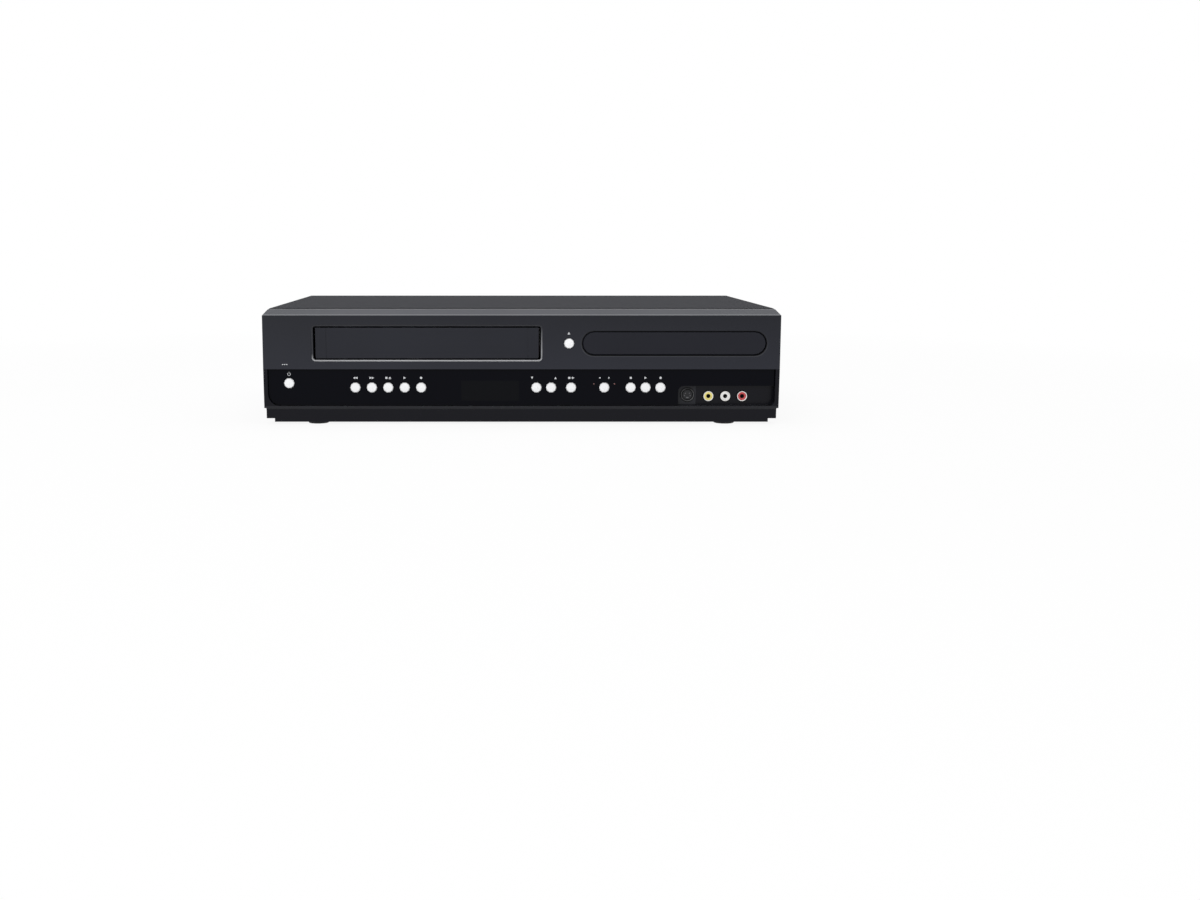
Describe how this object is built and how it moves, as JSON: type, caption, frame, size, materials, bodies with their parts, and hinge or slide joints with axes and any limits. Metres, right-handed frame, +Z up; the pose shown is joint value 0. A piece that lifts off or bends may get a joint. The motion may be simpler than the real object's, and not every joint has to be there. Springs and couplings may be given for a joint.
{
  "type": "dvd vcr combo player",
  "caption": "Slim home video deck with a swing-in cassette door, a geared sliding disc tray, push keys, front and rear sockets, and a rear fan.",
  "frame": {"origin": "centre of the bounding box's footprint, on the surface that the feet stand on", "axes": "+X to the right as seen from the front, +Y from the front panel to the rear sockets, +Z up"},
  "size_m": [0.435, 0.27, 0.097],
  "materials": {
    "front_moulding": "satin black",
    "window": "gloss black",
    "silver_keys": "smooth silver",
    "cover_steel": "textured satin black",
    "plated_steel": "zinc plated",
    "bare_aluminium": "machined",
    "polished_steel": "polished",
    "dark_moulding": "matt dark grey",
    "mechanism_moulding": "matt light grey",
    "circuit_board": "green lacquer",
    "black_core": "varnished laminations",
    "soft_rubber": "matt",
    "foot_moulding": "satin"
  },
  "bodies": {
    "case": {"chassis_base": "plated_steel", "top_cover": "cover_steel", "rear_panel": "plated_steel", "front_panel": "front_moulding", "control_window": "window", "front_board": "circuit_board", "display_module": "window", "front_svideo_jack": "dark_moulding", "front_av_jacks": "dark_moulding", "drive_base": "dark_moulding", "clamp_bridge": "plated_steel", "vcr_deck": "plated_steel", "drum_base": "bare_aluminium", "carriage_frame": "plated_steel", "main_board": "circuit_board", "digital_board": "circuit_board", "power_board": "circuit_board", "transformer": "black_core", "coax_jack": "polished_steel", "audio_out_jacks": "dark_moulding", "svideo_out_jack": "dark_moulding", "component_jacks": "dark_moulding", "svideo_in_jack": "dark_moulding", "av_in_jacks": "dark_moulding", "av_out_jacks": "dark_moulding", "hdmi_socket": "plated_steel", "mains_inlet": "dark_moulding", "fan_frame": "dark_moulding", "foot_front_left": "foot_moulding", "foot_front_right": "foot_moulding", "foot_rear_left": "foot_moulding", "foot_rear_right": "foot_moulding"},
    "button_power": {"button_power": "silver_keys"},
    "button_vcr_rewind": {"button_vcr_rewind": "silver_keys"},
    "button_vcr_fast_forward": {"button_vcr_fast_forward": "silver_keys"},
    "button_vcr_stop_eject": {"button_vcr_stop_eject": "silver_keys"},
    "button_vcr_play": {"button_vcr_play": "silver_keys"},
    "button_vcr_record": {"button_vcr_record": "silver_keys"},
    "button_channel_down": {"button_channel_down": "silver_keys"},
    "button_channel_up": {"button_channel_up": "silver_keys"},
    "button_dubbing": {"button_dubbing": "silver_keys"},
    "button_source": {"button_source": "silver_keys"},
    "button_disc_stop": {"button_disc_stop": "silver_keys"},
    "button_disc_play": {"button_disc_play": "silver_keys"},
    "button_disc_record": {"button_disc_record": "silver_keys"},
    "button_disc_open_close": {"button_disc_open_close": "silver_keys"},
    "vcr_door": {"vcr_door": "front_moulding"},
    "tray": {"disc_tray": "dark_moulding", "tray_front": "front_moulding"},
    "tray_gear": {"tray_gear": "mechanism_moulding"},
    "fan_rotor": {"fan_rotor": "dark_moulding"},
    "head_drum": {"head_drum": "bare_aluminium"},
    "capstan": {"capstan": "polished_steel"},
    "supply_reel": {"supply_reel": "mechanism_moulding"},
    "takeup_reel": {"takeup_reel": "mechanism_moulding"},
    "pinch_roller_arm": {"pinch_roller_arm": "soft_rubber"},
    "cassette_carriage": {"cassette_carriage": "plated_steel"},
    "turntable": {"turntable": "dark_moulding"},
    "disc_clamper": {"disc_clamper": "mechanism_moulding"},
    "laser_sled": {"laser_sled": "dark_moulding"}
  },
  "joints": [
    {"name": "power_press", "type": "slide", "parent": "case", "child": "button_power", "axis": [0, 1, 0], "range_m": [0, 0.0008], "stiffness_N_per_m": 300},
    {"name": "vcr_rewind_press", "type": "slide", "parent": "case", "child": "button_vcr_rewind", "axis": [0, 1, 0], "range_m": [0, 0.0008], "stiffness_N_per_m": 300},
    {"name": "vcr_fast_forward_press", "type": "slide", "parent": "case", "child": "button_vcr_fast_forward", "axis": [0, 1, 0], "range_m": [0, 0.0008], "stiffness_N_per_m": 300},
    {"name": "vcr_stop_eject_press", "type": "slide", "parent": "case", "child": "button_vcr_stop_eject", "axis": [0, 1, 0], "range_m": [0, 0.0008], "stiffness_N_per_m": 300},
    {"name": "vcr_play_press", "type": "slide", "parent": "case", "child": "button_vcr_play", "axis": [0, 1, 0], "range_m": [0, 0.0008], "stiffness_N_per_m": 300},
    {"name": "vcr_record_press", "type": "slide", "parent": "case", "child": "button_vcr_record", "axis": [0, 1, 0], "range_m": [0, 0.0008], "stiffness_N_per_m": 300},
    {"name": "channel_down_press", "type": "slide", "parent": "case", "child": "button_channel_down", "axis": [0, 1, 0], "range_m": [0, 0.0008], "stiffness_N_per_m": 300},
    {"name": "channel_up_press", "type": "slide", "parent": "case", "child": "button_channel_up", "axis": [0, 1, 0], "range_m": [0, 0.0008], "stiffness_N_per_m": 300},
    {"name": "dubbing_press", "type": "slide", "parent": "case", "child": "button_dubbing", "axis": [0, 1, 0], "range_m": [0, 0.0008], "stiffness_N_per_m": 300},
    {"name": "source_press", "type": "slide", "parent": "case", "child": "button_source", "axis": [0, 1, 0], "range_m": [0, 0.0008], "stiffness_N_per_m": 300},
    {"name": "disc_stop_press", "type": "slide", "parent": "case", "child": "button_disc_stop", "axis": [0, 1, 0], "range_m": [0, 0.0008], "stiffness_N_per_m": 300},
    {"name": "disc_play_press", "type": "slide", "parent": "case", "child": "button_disc_play", "axis": [0, 1, 0], "range_m": [0, 0.0008], "stiffness_N_per_m": 300},
    {"name": "disc_record_press", "type": "slide", "parent": "case", "child": "button_disc_record", "axis": [0, 1, 0], "range_m": [0, 0.0008], "stiffness_N_per_m": 300},
    {"name": "disc_open_close_press", "type": "slide", "parent": "case", "child": "button_disc_open_close", "axis": [0, 1, 0], "range_m": [0, 0.0008], "stiffness_N_per_m": 300},
    {"name": "door_swing", "type": "hinge", "parent": "case", "child": "vcr_door", "pos_m": [-0.0795, -0.127, 0.0865], "axis": [1, 0, 0], "range_deg": [0, 90], "stiffness_Nm_per_rad": 0.01, "springref_deg": -17.19},
    {"name": "tray_slide", "type": "slide", "parent": "case", "child": "tray", "axis": [0, -1, 0], "range_m": [0, 0.14]},
    {"name": "gear_spin", "type": "hinge", "parent": "case", "child": "tray_gear", "pos_m": [0.1659, -0.109, 0.0647], "axis": [0, 0, -1], "range_deg": [0, 765]},
    {"name": "fan_spin", "type": "hinge", "parent": "case", "child": "fan_rotor", "pos_m": [0.0243, 0.115, 0.0576], "axis": [0, 1, 0], "continuous": true},
    {"name": "drum_spin", "type": "hinge", "parent": "case", "child": "head_drum", "pos_m": [-0.0795, 0.051, 0.049], "axis": [-0.104, 0, 0.9946], "continuous": true},
    {"name": "capstan_spin", "type": "hinge", "parent": "case", "child": "capstan", "pos_m": [-0.0195, 0.029, 0.04], "axis": [0, 0, 1], "continuous": true},
    {"name": "supply_spin", "type": "hinge", "parent": "case", "child": "supply_reel", "pos_m": [-0.1255, -0.045, 0.035], "axis": [0, 0, 1], "continuous": true},
    {"name": "takeup_spin", "type": "hinge", "parent": "case", "child": "takeup_reel", "pos_m": [-0.0335, -0.045, 0.035], "axis": [0, 0, 1], "continuous": true},
    {"name": "pinch_swing", "type": "hinge", "parent": "case", "child": "pinch_roller_arm", "pos_m": [0.0025, 0.048, 0.03], "axis": [0, 0, -1], "range_deg": [0, 27], "stiffness_Nm_per_rad": 0.02, "springref_deg": -5.73},
    {"name": "carriage_slide", "type": "slide", "parent": "case", "child": "cassette_carriage", "axis": [0, 1, 0], "range_m": [0, 0.047]},
    {"name": "disc_spin", "type": "hinge", "parent": "case", "child": "turntable", "pos_m": [0.1284, -0.057, 0.06], "axis": [0, 0, 1], "continuous": true},
    {"name": "clamper_spin", "type": "hinge", "parent": "case", "child": "disc_clamper", "pos_m": [0.1284, -0.057, 0.076], "axis": [0, 0, 1], "continuous": true},
    {"name": "sled_slide", "type": "slide", "parent": "case", "child": "laser_sled", "axis": [0, 1, 0], "range_m": [0, 0.033]}
  ],
  "couplings": [
    {"joint": "gear_spin", "follows": "tray_slide", "rad_per_m": 95.238},
    {"joint": "clamper_spin", "follows": "disc_spin", "ratio": 1}
  ]
}
